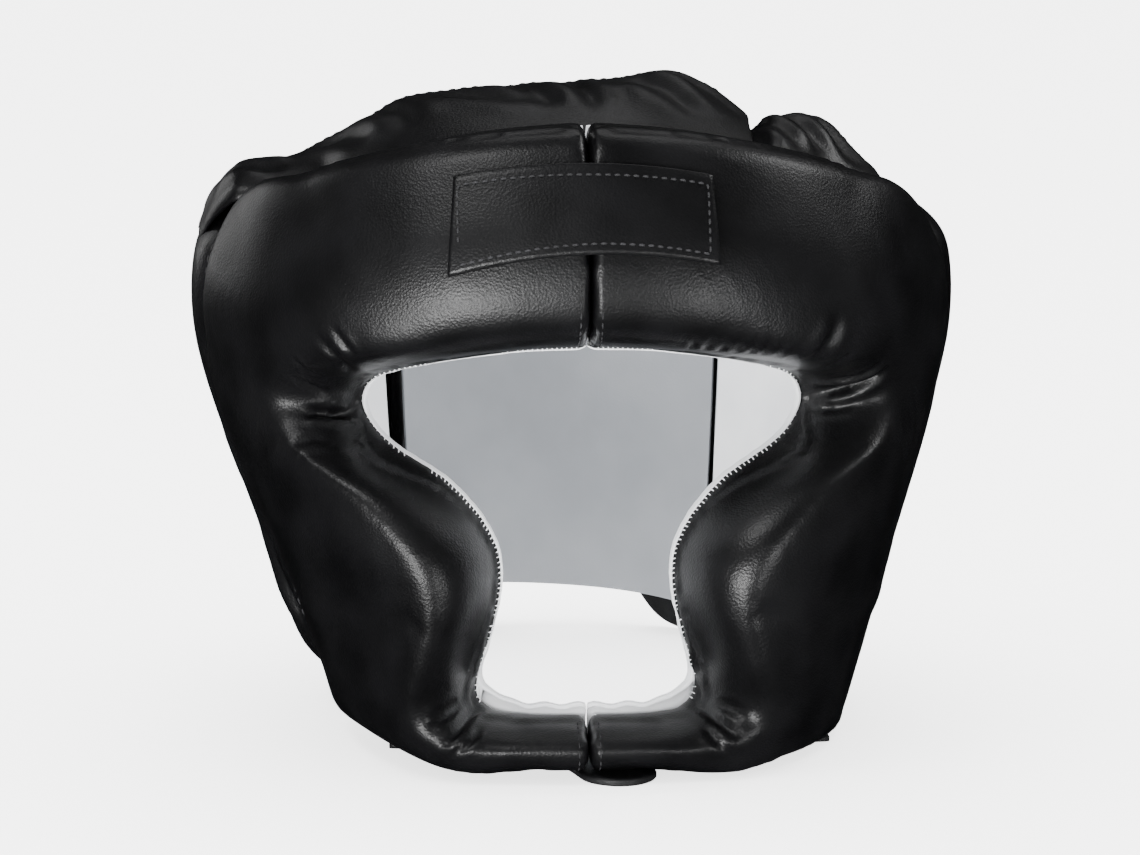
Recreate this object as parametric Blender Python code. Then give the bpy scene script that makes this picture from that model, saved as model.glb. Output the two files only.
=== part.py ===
"""A padded full-face boxing headgear in black leather with a light lining.

It rests on the floor, z = 0, on its jaw line and on the lower corners of its rear straps.
The face looks along -Y, and +X is on the right of someone who faces it.
"""

import math

import bmesh
import bpy
from mathutils import Vector

# Driving dimensions, in metres
mask_height = 0.199
eye_half_width = 0.0664
hollow_half_width = 0.088
hollow_front = 0.088
hollow_rear = 0.105
hollow_middle_y = -0.001
pad_thickness = 0.036
edge_roll = 0.014
lip_share = 0.08
lining_thickness = 0.0012
clearance = 0.0003
side_seam_angle = 74.0
side_swell = 0.005
left_taper = 0.0135
left_taper_height = 0.115
right_taper = 0.005
right_taper_height = 0.040
taper_start = 0.038
taper_end = 0.092
taper_depth = 0.05
panel_height = 0.167
panel_roll = 0.014
flange_thickness = 0.011
side_end_right = 146.5
side_end_left = 143.0
back_half_angle = 32.0
back_bottom = 0.015
back_height = 0.105
back_roll = 0.004
back_tilt = 0.004
wing_thickness = 0.003
wing_start = 129.0
wing_end_right = 191.0
wing_end_left = 196.0
wing_height = 0.100
wing_tail_roll = 0.0015
strap_width = 0.024
strap_thickness = 0.002
strap_relief = 0.0026
left_jaw_lift = 0.004
right_jaw_foot = 0.94
crown_half_span = 0.106
crown_depth = 0.062
crown_rise = 0.040
crown_thickness = 0.0055
binding_radius = 0.0013
patch_width = 0.080
patch_height = 0.0272
patch_thickness = 0.0014
patch_gap = 0.0007
patch_middle_x = -0.002
patch_bottom = 0.1608
patch_sag = 0.004
patch_bow = 0.0015
patch_tilt = 0.0015

# Tables of sections

# The hollow for the head, by height. Shares of mask_height, hollow_half_width, hollow_front, hollow_rear
FORM = (
    # up, half, front, rear
    (0.00, 0.75, 1.00, 1.00),
    (0.12, 0.78, 1.02, 1.00),
    (0.30, 0.86, 1.02, 1.00),
    (0.45, 0.93, 1.00, 0.99),
    (0.60, 0.98, 1.00, 0.98),
    (0.74, 1.00, 1.00, 0.95),
    (0.84, 0.95, 0.985, 0.90),
    (0.93, 0.87, 0.93, 0.83),
    (1.00, 0.80, 0.87, 0.76),
)
FORM_SQUARENESS = 2.35

# Thickness at the side seam, by height. Shares of mask_height and pad_thickness
SEAM = (
    # up, thick
    (0.00, 0.72),
    (0.24, 0.74),
    (0.37, 0.83),
    (0.49, 0.90),
    (0.61, 0.95),
    (0.74, 0.92),
    (0.83, 0.80),
    (1.00, 0.66),
)

# How much of side_swell the side panels have, by height. Shares of mask_height and side_swell
SWELL = (
    # up, swell
    (0.00, 0.90),
    (0.20, 0.80),
    (0.30, 0.35),
    (0.42, 0.00),
    (0.55, 0.05),
    (0.66, 0.50),
    (0.78, 0.45),
    (1.00, 0.00),
)

# One half of the face pad, section by section from the chin to the forehead. The opening's edge is in
# shares of eye_half_width and mask_height, the outer edge in shares of side_seam_angle and mask_height,
# and body and rim in shares of pad_thickness. Foot is the share of the rim that stands square
PAD = (
    # across, up, angle, top, body, rim, foot
    (0.00, 0.088, 0.00, 0.000, 0.68, 0.68, 0.66),  # middle of the chin bar
    (0.25, 0.087, 0.15, 0.000, 0.70, 0.70, 0.64),
    (0.44, 0.092, 0.33, 0.000, 0.84, 0.80, 0.56),
    (0.512, 0.118, 0.52, 0.000, 0.96, 0.86, 0.58),  # lower corner of the opening
    (0.463, 0.183, 0.73, 0.000, 1.00, 0.84, 0.62),  # jaw
    (0.416, 0.247, 0.91, 0.012, 1.00, 0.76, 0.70),
    (0.392, 0.298, 0.985, 0.105, 1.00, 0.73, 0.84),  # narrowest part of the opening
    (0.410, 0.348, 1.00, 0.22, 1.02, 0.74, 0.88),
    (0.492, 0.397, 1.00, 0.33, 1.03, 0.80, 0.88),
    (0.630, 0.445, 1.00, 0.425, 1.00, 0.86, 0.88),
    (0.757, 0.470, 1.00, 0.485, 0.96, 0.90, 0.88),
    (0.903, 0.496, 1.00, 0.530, 0.90, 0.92, 0.88),
    (0.988, 0.525, 1.00, 0.565, 0.85, 0.93, 0.88),
    (1.023, 0.558, 1.00, 0.600, 0.82, 0.94, 0.88),  # eye corner
    (0.968, 0.594, 1.00, 0.645, 0.82, 0.94, 0.88),
    (0.82, 0.615, 1.00, 0.700, 0.86, 0.93, 0.88),
    (0.68, 0.628, 1.00, 0.765, 0.90, 0.89, 0.86),
    (0.55, 0.637, 0.985, 0.822, 0.92, 0.80, 0.78),  # temple
    (0.47, 0.642, 0.89, 0.866, 0.92, 0.72, 0.72),
    (0.37, 0.647, 0.75, 0.908, 0.90, 0.68, 0.72),
    (0.26, 0.651, 0.54, 0.945, 0.90, 0.68, 0.72),
    (0.135, 0.653, 0.28, 0.979, 0.90, 0.68, 0.72),
    (0.00, 0.654, 0.00, 0.992, 0.90, 0.68, 0.72),  # middle of the forehead
)
PAD_STEPS_PER_ROW = 2

# The side panels, from the seam to the rear edge. Heights are shares of panel_height
SIDE = (
    # along, bottom, top, swell, flange
    (0.00, 0.085, 0.975, 0.0, 0.0),
    (0.05, 0.078, 0.985, 0.5, 0.0),
    (0.20, 0.062, 1.000, 1.0, 0.0),
    (0.40, 0.062, 0.990, 1.0, 0.12),
    (0.55, 0.072, 0.930, 0.8, 0.45),
    (0.67, 0.082, 0.860, 0.3, 0.85),
    (0.76, 0.088, 0.800, 0.0, 1.0),
    (1.00, 0.100, 0.700, 0.0, 1.0),
)

# The rear straps, from the side panel to past the middle of the back. Shares of wing_height
WING = (
    # along, bottom, top
    (0.00, 0.14, 0.90),
    (0.14, 0.06, 0.97),
    (0.28, 0.01, 1.00),
    (0.36, 0.00, 1.00),
    (0.45, 0.00, 1.00),
    (0.51, 0.02, 1.00),
    (0.55, 0.06, 0.99),
    (0.58, 0.11, 0.99),
    (0.63, 0.20, 0.98),
    (0.74, 0.24, 0.96),
    (0.94, 0.26, 0.94),
    (1.00, 0.32, 0.88),
)

# The flaps over the top of the head. Across is a share of crown_half_span, front and rear are shares of
# crown_depth forward of hollow_middle_y, the heights are shares of crown_rise above panel_height
LEFT_FLAP = (
    # across, front, rear, up_front, up_rear, thick
    (-1.13, 0.20, -0.16, -0.19, -0.19, 0.70),
    (-1.095, 0.32, -0.19, -0.035, -0.035, 1.00),
    (-1.05, 0.42, -0.20, 0.073, 0.073, 1.15),
    (-1.00, 0.50, -0.20, 0.14, 0.14, 1.15),
    (-0.92, 0.50, -0.20, 0.16, 0.16, 1.15),
    (-0.81, 0.49, -0.17, 0.19, 0.27, 1.10),
    (-0.74, 0.51, -0.14, 0.23, 0.37, 1.05),
    (-0.68, 0.62, -0.12, 0.33, 0.455, 1.05),
    (-0.60, 0.76, -0.09, 0.375, 0.585, 1.00),
    (-0.52, 0.84, -0.06, 0.41, 0.745, 1.00),
    (-0.38, 0.95, -0.03, 0.47, 0.805, 1.00),
    (-0.19, 1.01, 0.00, 0.52, 0.845, 1.00),
    (0.00, 1.03, 0.02, 0.54, 0.875, 1.00),
    (0.17, 1.01, 0.02, 0.53, 0.925, 1.00),
    (0.28, 0.98, 0.02, 0.52, 0.99, 1.00),
    (0.37, 0.94, 0.05, 0.49, 0.89, 1.00),
    (0.44, 0.90, 0.08, 0.46, 0.77, 1.00),
    (0.51, 0.84, 0.12, 0.43, 0.62, 0.90),
)
RIGHT_FLAP = (
    # across, front, rear, up_front, up_rear, thick
    (0.33, 0.72, 0.20, 0.27, 0.50, 0.80),
    (0.44, 0.76, 0.16, 0.28, 0.46, 0.80),
    (0.52, 0.80, 0.12, 0.30, 0.47, 0.85),
    (0.575, 0.82, 0.10, 0.39, 0.58, 1.00),
    (0.64, 0.70, 0.06, 0.35, 0.62, 1.00),
    (0.73, 0.50, 0.02, 0.26, 0.62, 1.00),
    (0.79, 0.47, -0.05, 0.155, 0.52, 1.00),
    (0.86, 0.46, -0.11, 0.12, 0.28, 0.95),
    (0.92, 0.42, -0.14, 0.07, 0.105, 0.70),
)

# The strap's two runs, on the floor. Points by hand, as shares of the hollow's half width and front depth
LEFT_STRAP_ROUTE = (
    # across, forward, lap
    (-0.66, 0.58, 0.0),
    (-0.46, 0.62, 0.0),
    (-0.25, 0.72, 0.0),
    (0.00, 0.90, 0.0),
    (0.09, 1.10, 0.0),
    (0.125, 1.28, 0.0),
)
RIGHT_STRAP_ROUTE = (
    # across, forward, lap
    (0.87, 0.56, 0.0),
    (0.60, 0.60, 0.0),
    (0.34, 0.68, 0.0),
    (0.14, 0.76, 1.0),
    (-0.08, 0.80, 1.0),
)


def row_at(table, station):
    """The values of a table at a station, on smooth curves through its rows."""
    last = len(table) - 2
    i = 0
    while i < last and station > table[i + 1][0]:
        i += 1
    start, end = table[i], table[i + 1]
    before = table[max(i - 1, 0)]
    after = table[min(i + 2, len(table) - 1)]
    span = end[0] - start[0]
    t = min(max((station - start[0]) / span, 0.0), 1.0)
    values = []
    for column in range(1, len(start)):
        slope_in = (end[column] - before[column]) / (end[0] - before[0]) * span
        slope_out = (after[column] - start[column]) / (after[0] - start[0]) * span
        values.append(
            start[column] * (2 * t**3 - 3 * t**2 + 1)
            + slope_in * (t**3 - 2 * t**2 + t)
            + end[column] * (3 * t**2 - 2 * t**3)
            + slope_out * (t**3 - t**2)
        )
    return values


def eased(value, start, end):
    """A smooth step from 0 at start to 1 at end."""
    t = min(max((value - start) / (end - start), 0.0), 1.0)
    return t * t * (3 - 2 * t)


def mixed(first, second, share):
    return first + (second - first) * share


def form_radius(angle, height):
    """The radius of the head's hollow, at an angle in degrees from the face and a height."""
    half, front, rear = row_at(FORM, height / mask_height)
    sine = abs(math.sin(math.radians(angle)))
    cosine = math.cos(math.radians(angle))
    depth = hollow_front * front if cosine > 0 else hollow_rear * rear
    power = FORM_SQUARENESS
    sum_of_powers = (sine / (hollow_half_width * half)) ** power + (abs(cosine) / depth) ** power
    return sum_of_powers ** (-1 / power)


def place(angle, height, out):
    """The point that stands out from the hollow's surface by a distance, away from its axis."""
    radius = form_radius(angle, height) + out
    turn = math.radians(angle)
    return Vector((radius * math.sin(turn), hollow_middle_y - radius * math.cos(turn), height))


def seam_thickness(height):
    return pad_thickness * row_at(SEAM, height / mask_height)[0]


# Materials and meshes

def material(name, colour, roughness):
    made = bpy.data.materials.new(name)
    made.use_nodes = True
    shader = made.node_tree.nodes["Principled BSDF"]
    shader.inputs["Base Color"].default_value = (*colour, 1.0)
    shader.inputs["Roughness"].default_value = roughness
    shader.inputs["Metallic"].default_value = 0.0
    made.diffuse_color = (*colour, 1.0)
    return made


def clear_scene():
    for obj in list(bpy.data.objects):
        bpy.data.objects.remove(obj, do_unlink=True)


def make_collection():
    collection = bpy.data.collections.new("boxing_headgear")
    bpy.context.scene.collection.children.link(collection)
    return collection


def lofted(collection, name, rings, finish):
    """A closed solid through rings of equally many points, capped at both ends."""
    mesh = bmesh.new()
    layers = [[mesh.verts.new(point) for point in ring] for ring in rings]
    count = len(rings[0])
    for lower, upper in zip(layers, layers[1:]):
        for i in range(count):
            j = (i + 1) % count
            mesh.faces.new((lower[i], lower[j], upper[j], upper[i]))
    caps = [mesh.faces.new(list(reversed(layers[0]))), mesh.faces.new(layers[-1])]
    bmesh.ops.triangulate(mesh, faces=caps, ngon_method="BEAUTY")
    bmesh.ops.recalc_face_normals(mesh, faces=mesh.faces)
    data = bpy.data.meshes.new(name)
    mesh.to_mesh(data)
    mesh.free()
    data.shade_smooth()
    data.set_sharp_from_angle(angle=math.radians(40))
    data.materials.append(finish)
    obj = bpy.data.objects.new(name, data)
    collection.objects.link(obj)
    return obj


def mirrored(point, side):
    """The point on its own half, drawn in towards the axis at the jaw, and further on the left."""
    most, height = (left_taper, left_taper_height) if side < 0 else (right_taper, right_taper_height)
    low = max(1 - point.z / height, 0.0) ** 1.3
    forward = 1 - eased(point.y, 0, taper_depth)
    outward = Vector((point.x, point.y - hollow_middle_y, 0)).normalized()
    drawn = point - outward * most * low * forward * eased(abs(point.x), taper_start, taper_end)
    return Vector((drawn.x * side, drawn.y, point.z))


# The face pad and its lining

def opening_angle(across, height, out):
    """The angle at which the surface that stands out by a distance lies across from the middle."""
    low, high = 0.0, 80.0
    for _ in range(40):
        middle = (low + high) / 2
        if place(middle, height, out).x < across:
            low = middle
        else:
            high = middle
    return (low + high) / 2


def underside(angle, side):
    """The height of the pad's underside: it rests beside the chin and clears the strap elsewhere."""
    resting = eased(angle, 11, 17) * (1 - eased(angle, 25, 31))
    lift = left_jaw_lift * eased(angle, 30, 45) if side < 0 else 0.0
    return strap_relief * (1 - resting) + lift


def pad_section(station, side):
    """The run of a pad section from the opening's edge to its outer edge, with its thicknesses."""
    rows = [(index, *row) for index, row in enumerate(PAD)]
    across, up, angle, top, body, rim, foot = row_at(rows, station)
    last = len(PAD) - 1
    edge_height = mask_height * up
    body_out = pad_thickness * body
    start_angle = opening_angle(max(across, 0) * eye_half_width, edge_height, body_out * lip_share)
    if station in (0, last):
        start_angle, angle = 0.0, 0.0
    outer_angle = side_seam_angle * angle
    outer_height = max(mask_height * top, underside(outer_angle, side))
    if side > 0:
        foot = mixed(max(foot, right_jaw_foot), foot, eased(station, 5, 7)) if station > 1.5 else foot
    start = (start_angle, edge_height)
    end = (outer_angle, outer_height)
    width = (place(*end, 0) - place(*start, 0)).length
    return start, end, width, body_out, pad_thickness * rim, foot


INNER_SHARES = (0.0, 0.25, 0.5, 0.75, 1.0)
ROLL_STEPS = 4
BODY_STEPS = 3


def along(start, end, share, out, side):
    """A point of a section: the share of the way from start to end, standing out by a distance."""
    angle = mixed(start[0], end[0], share)
    height = mixed(start[1], end[1], share)
    point = mirrored(place(angle, height, out), side)
    point.x += side * clearance / 2
    return point


def pad_ring(station, side):
    start, end, width, body, rim, foot = pad_section(station, side)
    roll_in = min(edge_roll / width, 0.42)
    roll_out = min(edge_roll * 1.6 * (1 - foot) / width, 0.42)

    def thickness(share):
        return mixed(body, rim, eased(share, 0.3, 1.0))

    profile = []
    for step in range(ROLL_STEPS + 1):
        turn = math.pi / 2 * step / ROLL_STEPS
        share = roll_in * (1 - math.cos(turn))
        profile.append((share, thickness(share) * mixed(lip_share, 1, math.sin(turn))))
    for step in range(1, BODY_STEPS + 1):
        share = mixed(roll_in, 1 - roll_out, step / (BODY_STEPS + 1))
        profile.append((share, thickness(share)))
    for step in range(ROLL_STEPS + 1):
        turn = math.pi / 2 * step / ROLL_STEPS
        share = 1 - roll_out * (1 - math.sin(turn))
        profile.append((share, thickness(share) * mixed(foot, 1, math.cos(turn))))
    profile += [(share, 0.0) for share in reversed(INNER_SHARES)]
    return [along(start, end, share, out, side) for share, out in profile]


def face_lining_ring(station, side):
    """The lining's section: a strip inside the pad, and a lip that turns out round the opening's edge."""
    start, end, width, body, _, _ = pad_section(station, side)
    near, far = clearance, clearance + lining_thickness
    lip = body * lip_share
    faces = []
    for gap in (near, far):
        face = [along(start, end, share, -gap, side) for share in INNER_SHARES]
        face[0] = along(start, end, -gap / width, -gap, side)
        hem = (face[-1] - face[-2]).normalized() * lining_thickness
        face[-1] = face[-1] - hem
        faces.append([along(start, end, -gap / width, lip, side), *face])
    return list(reversed(faces[0])) + faces[1]


def pad_stations():
    count = (len(PAD) - 1) * PAD_STEPS_PER_ROW
    return [step / PAD_STEPS_PER_ROW for step in range(count + 1)]


def make_face(collection, name, side, leather, lining):
    stations = pad_stations()
    lofted(collection, "face_pad_" + name, [pad_ring(s, side) for s in stations], leather)
    lofted(collection, "face_lining_" + name, [face_lining_ring(s, side) for s in stations], lining)


# The side panels and their linings

PANEL_UPS = (0.0, 0.2, 0.4, 0.6, 0.75, 0.88, 1.0)


def side_section(share, end_angle):
    bottom, top, swell, flange = row_at(SIDE, share)
    angle = mixed(side_seam_angle + side_gap_angle(), end_angle, share)
    return angle, panel_height * bottom, panel_height * top, swell, flange


def side_gap_angle():
    return math.degrees(clearance * 2.2 / hollow_half_width)


def side_panel_ring(share, side, end_angle):
    angle, bottom, top, swell, flange = side_section(share, end_angle)
    rise = top - bottom
    roll = panel_roll / rise
    square = mixed(0.6, 0.8, flange)

    def thickness(height):
        fullness = swell * row_at(SWELL, height / mask_height)[0]
        padded = seam_thickness(height) * mixed(0.88, 1, eased(share, 0, 0.07)) + side_swell * fullness
        return mixed(padded, flange_thickness, flange)

    profile = []
    for step in range(ROLL_STEPS + 1):
        turn = math.pi / 2 * step / ROLL_STEPS
        profile.append((roll * (1 - math.cos(turn)), mixed(square, 1, math.sin(turn))))
    for step in range(1, 5):
        profile.append((mixed(roll, 1 - roll, step / 5), 1.0))
    for step in range(ROLL_STEPS + 1):
        turn = math.pi / 2 * step / ROLL_STEPS
        profile.append((1 - roll * (1 - math.sin(turn)), mixed(square, 1, math.cos(turn))))
    points = []
    for up, out in profile:
        height = mixed(bottom, top, up)
        points.append(place(angle, height, thickness(height) * out))
    for up in reversed(PANEL_UPS):
        points.append(place(angle, mixed(bottom, top, up), 0.0))
    return [mirrored(point, side) for point in points]


def side_lining_ring(share, side, end_angle):
    angle, bottom, top, _, _ = side_section(share, end_angle)
    heights = [mixed(bottom, top, up) for up in PANEL_UPS]
    near = [place(angle, height, -clearance) for height in reversed(heights)]
    far = [place(angle, height, -clearance - lining_thickness) for height in heights]
    return [mirrored(point, side) for point in near + far]


SIDE_SHARES = (0.0, 0.03, 0.07, 0.14, 0.24, 0.34, 0.44, 0.53, 0.6, 0.67, 0.74, 0.82, 0.91, 1.0)


def make_side(collection, name, side, end_angle, leather, lining):
    rings = [side_panel_ring(share, side, end_angle) for share in SIDE_SHARES]
    lofted(collection, "side_panel_" + name, rings, leather)
    rings = [side_lining_ring(share, side, end_angle) for share in SIDE_SHARES]
    lofted(collection, "side_lining_" + name, rings, lining)


# The back panel and the straps that close it

BACK_UPS = (0.15, 0.35, 0.55, 0.75, 0.9)


def back_ring(angle, inner, outer, trim):
    """A section of the back panel between two distances from the hollow, with rounded ends."""
    base = back_bottom + back_tilt * (angle - 180) / back_half_angle
    bottom = base + trim
    top = base + back_height - trim
    roll = min(abs(outer - inner) * 0.45, back_roll)
    turned = math.copysign(roll, outer - inner)
    heights = [bottom + roll, bottom, bottom, bottom + roll]
    outs = [inner, inner + turned, outer - turned, outer]
    points = [place(angle, height, out) for height, out in zip(heights, outs)]
    for share in BACK_UPS:
        points.append(place(angle, base + back_height * share, outer))
    heights = [top - roll, top, top, top - roll]
    points += [place(angle, height, out) for height, out in zip(heights, reversed(outs))]
    for share in reversed(BACK_UPS):
        points.append(place(angle, base + back_height * share, inner))
    return points


def make_back(collection, leather, lining):
    steps = 11
    angles = [mixed(180 - back_half_angle, 180 + back_half_angle, i / steps) for i in range(steps + 1)]
    rings = [back_ring(angle, 0.0, flange_thickness, 0.0) for angle in angles]
    lofted(collection, "back_panel", rings, leather)
    inner = -clearance - lining_thickness
    rings = [back_ring(angle, -clearance, inner, lining_thickness) for angle in angles]
    lofted(collection, "back_lining", rings, lining)


def wing_out(angle, side):
    """How far a rear strap stands out: the left one steps up to lap over the right one."""
    lap = wing_thickness + clearance
    step = eased(angle, 152, 166) if side < 0 else 0.0
    return flange_thickness + clearance * 1.5 + lap * step


def wing_ring(share, side, end_angle):
    bottom, top = row_at(WING, share)
    angle = mixed(wing_start, end_angle, share)
    inner = wing_out(angle, side)
    outer = inner + wing_thickness
    roll = wing_tail_roll
    low, high = max(wing_height * bottom, 0.0), wing_height * top
    heights = [low + roll, low, low + roll]
    outs = [inner, (inner + outer) / 2, outer]
    middle = (0.25, 0.5, 0.75)
    points = [place(angle, height, out) for height, out in zip(heights, outs)]
    points += [place(angle, mixed(low, high, share), outer) for share in middle]
    points += [place(angle, height, out) for height, out in zip((high - roll, high, high - roll), reversed(outs))]
    points += [place(angle, mixed(low, high, share), inner) for share in reversed(middle)]
    return [mirrored(point, side) for point in points]


def make_wing(collection, name, side, end_angle, leather):
    shares = [row[0] for row in WING] + [0.07, 0.21, 0.685, 0.80, 0.87]
    rings = [wing_ring(share, side, end_angle) for share in sorted(shares)]
    lofted(collection, "rear_wing_" + name, rings, leather)


# The flaps over the top of the head and their bound edges

def flap_section(table, across):
    front, rear, up_front, up_rear, thick = row_at(table, across)
    front_point = Vector((0, hollow_middle_y - crown_depth * front, panel_height + crown_rise * up_front))
    rear_point = Vector((0, hollow_middle_y - crown_depth * rear, panel_height + crown_rise * up_rear))
    return front_point, rear_point, crown_thickness * thick


def flap_ring(table, across):
    """A section of a flap, from its front edge to its rear edge, over and back under."""
    front, rear, thick = flap_section(table, across)
    run = rear - front
    belly = abs(run.y) * 0.10
    over, under = [], []
    for share in (0.0, 0.06, 0.22, 0.4, 0.6, 0.78, 0.94, 1.0):
        centre = front + run * share
        centre.x = crown_half_span * across
        centre.z += belly * math.sin(math.pi * share)
        round_end = 0.35 if share in (0.0, 1.0) else 1.0
        over.append(centre - Vector((0, 0, thick * (1 - round_end) / 2)))
        under.append(centre - Vector((0, 0, thick * (1 + round_end) / 2)))
    return over + list(reversed(under))


def flap_stations(table):
    firsts = [row[0] for row in table]
    stations = []
    for first, second in zip(firsts, firsts[1:]):
        stations += [first, (first + second) / 2]
    return stations + [firsts[-1]]


def binding_route(table):
    points = []
    for across in flap_stations(table):
        _, rear, thick = flap_section(table, across)
        centre = rear + Vector((crown_half_span * across, binding_radius + clearance * 2, -thick / 2))
        points.append(centre)
    return points


def make_tube(collection, name, points, radius, finish):
    curve = bpy.data.curves.new(name, "CURVE")
    curve.dimensions = "3D"
    curve.bevel_depth = radius
    curve.bevel_resolution = 1
    curve.use_fill_caps = True
    spline = curve.splines.new("POLY")
    spline.points.add(len(points) - 1)
    for target, point in zip(spline.points, points):
        target.co = (*point, 1.0)
    curve.materials.append(finish)
    obj = bpy.data.objects.new(name, curve)
    collection.objects.link(obj)
    return obj


def make_crown(collection, leather, thread):
    for name, table in (("left", LEFT_FLAP), ("right", RIGHT_FLAP)):
        rings = [flap_ring(table, across) for across in flap_stations(table)]
        lofted(collection, "crown_flap_" + name, rings, leather)
        make_tube(collection, "crown_binding_" + name, binding_route(table), binding_radius, thread)


# The forehead patch

def pad_surface(angle, height):
    """How far the forehead pad stands out at an angle and a height near its middle."""
    low, high = 16.0, float(len(PAD) - 1)
    for _ in range(30):
        station = (low + high) / 2
        start, end, *_ = pad_section(station, 1)
        share = (height - start[1]) / (end[1] - start[1])
        if mixed(start[0], end[0], share) > abs(angle):
            low = station
        else:
            high = station
    start, end, _, body, rim, _ = pad_section((low + high) / 2, 1)
    share = (height - start[1]) / (end[1] - start[1])
    return mixed(body, rim, eased(share, 0.3, 1.0))


def patch_ring(share):
    """A section of the patch across its height, sagging a little towards its ends."""
    across = patch_middle_x + patch_width * (share - 0.5)
    drop = patch_sag * (2 * share - 1) ** 2
    bow = patch_bow * (1 - (2 * share - 1) ** 2) + patch_tilt * (2 * share - 1)
    points = []
    for out, ups in ((patch_gap + patch_thickness, (0, 0.25, 0.5, 0.75, 1)), (patch_gap, (1, 0.75, 0.5, 0.25, 0))):
        for up in ups:
            height = patch_bottom - drop + patch_height * up + bow * (1 - up)
            angle = opening_angle(abs(across), height, pad_thickness * 0.9)
            points.append(mirrored(place(angle, height, pad_surface(angle, height) + out), math.copysign(1, across)))
    return points


def make_patch(collection, leather):
    steps = 16
    rings = [patch_ring(i / steps) for i in range(steps + 1)]
    lofted(collection, "forehead_patch", rings, leather)


# The chin strap

def strap_point(row):
    across, forward, lap = row
    height = lap * (strap_thickness + clearance)
    return (hollow_half_width * across, hollow_middle_y - hollow_front * forward, height)


def smooth_route(rows, steps):
    """Points on a smooth curve through the route's rows."""
    numbered = [(index, *strap_point(row)) for index, row in enumerate(rows)]
    count = (len(rows) - 1) * steps
    points = [Vector(row_at(numbered, index / steps)) for index in range(count + 1)]
    for point in points:
        point.z = max(point.z, 0.0)
    return points


def make_strap(collection, name, rows, leather):
    """A flat band along a route on the floor, with a rounded free end."""
    route = smooth_route(rows, 4)
    lengths = [0.0]
    for first, second in zip(route, route[1:]):
        lengths.append(lengths[-1] + (second - first).length)
    half = strap_width / 2
    rings = []
    for index, centre in enumerate(route):
        before, after = route[max(index - 1, 0)], route[min(index + 1, len(route) - 1)]
        course = after - before
        course.z = 0
        course.normalize()
        across = Vector((-course.y, course.x, 0))
        left = lengths[-1] - lengths[index]
        reach = half if left >= half else max(math.sqrt(half**2 - (half - left) ** 2), half * 0.28)
        rings.append([
            centre - across * reach,
            centre + across * reach,
            centre + across * reach + Vector((0, 0, strap_thickness)),
            centre - across * reach + Vector((0, 0, strap_thickness)),
        ])
    lofted(collection, "chin_strap_" + name, rings, leather)


def main():
    clear_scene()
    collection = make_collection()
    leather = material("black_leather", (0.012, 0.012, 0.014), 0.38)
    crown_leather = material("soft_black_leather", (0.014, 0.014, 0.016), 0.42)
    wing_leather = material("strap_leather", (0.016, 0.016, 0.017), 0.5)
    lining = material("white_lining", (0.62, 0.63, 0.64), 0.6)
    back_lining = material("grey_lining", (0.42, 0.43, 0.44), 0.6)
    binding = material("edge_binding", (0.02, 0.02, 0.022), 0.5)
    make_face(collection, "left", -1, leather, lining)
    make_face(collection, "right", 1, leather, lining)
    make_side(collection, "left", -1, side_end_left, leather, lining)
    make_side(collection, "right", 1, side_end_right, leather, lining)
    make_back(collection, leather, back_lining)
    make_wing(collection, "left", -1, wing_end_left, wing_leather)
    make_wing(collection, "right", 1, wing_end_right, wing_leather)
    make_crown(collection, crown_leather, binding)
    make_patch(collection, leather)
    make_strap(collection, "left", LEFT_STRAP_ROUTE, wing_leather)
    make_strap(collection, "right", RIGHT_STRAP_ROUTE, wing_leather)


main()
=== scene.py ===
import math

import bmesh
import bpy
import numpy as np
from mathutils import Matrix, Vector
from mathutils.bvhtree import BVHTree


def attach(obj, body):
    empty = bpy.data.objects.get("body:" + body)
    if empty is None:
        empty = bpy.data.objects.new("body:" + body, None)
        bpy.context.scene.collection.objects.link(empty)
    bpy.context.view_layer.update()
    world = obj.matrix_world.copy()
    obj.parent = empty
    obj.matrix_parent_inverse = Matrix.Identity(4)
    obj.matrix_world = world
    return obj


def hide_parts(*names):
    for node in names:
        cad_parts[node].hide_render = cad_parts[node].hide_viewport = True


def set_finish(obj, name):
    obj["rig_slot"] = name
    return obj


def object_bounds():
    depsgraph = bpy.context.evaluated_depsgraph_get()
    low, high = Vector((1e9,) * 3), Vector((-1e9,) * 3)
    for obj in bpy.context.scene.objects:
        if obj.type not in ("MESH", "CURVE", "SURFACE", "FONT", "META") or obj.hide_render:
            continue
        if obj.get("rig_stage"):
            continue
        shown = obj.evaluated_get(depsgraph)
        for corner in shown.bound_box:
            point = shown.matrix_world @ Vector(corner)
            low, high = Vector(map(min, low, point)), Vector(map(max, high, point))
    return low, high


# %% [markdown]
# A full-face boxing headgear is two mirrored pads round the face, two side panels, a back panel and a
# few straps, all sewn from black synthetic leather over foam and lined in white. It could be sculpted
# from a ball of clay, but then nothing would fit its neighbour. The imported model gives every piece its
# place, so each piece here starts from its CAD solid and only gets softer and richer.

# %% Load the frame
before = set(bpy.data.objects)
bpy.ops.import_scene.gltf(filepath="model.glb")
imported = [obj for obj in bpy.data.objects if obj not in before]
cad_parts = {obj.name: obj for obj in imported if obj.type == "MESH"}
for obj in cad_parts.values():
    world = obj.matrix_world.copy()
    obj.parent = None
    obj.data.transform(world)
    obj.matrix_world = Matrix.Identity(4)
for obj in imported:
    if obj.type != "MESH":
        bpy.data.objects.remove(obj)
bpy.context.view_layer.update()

# The head's axis, in metres from the middle, and the seam between pad and side panel, in degrees
axis_y = -0.001
seam_angle = 74.0

# %% [markdown]
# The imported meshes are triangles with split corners. They could be subdivided as they are, but long thin
# triangles pinch. Welding the corners and joining the triangles back into quads gives Catmull-Clark
# subdivision an even net to work on, which is what turns flat facets into skin.


# %% Copies of the CAD solids
weld_distance = 0.00002


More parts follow.
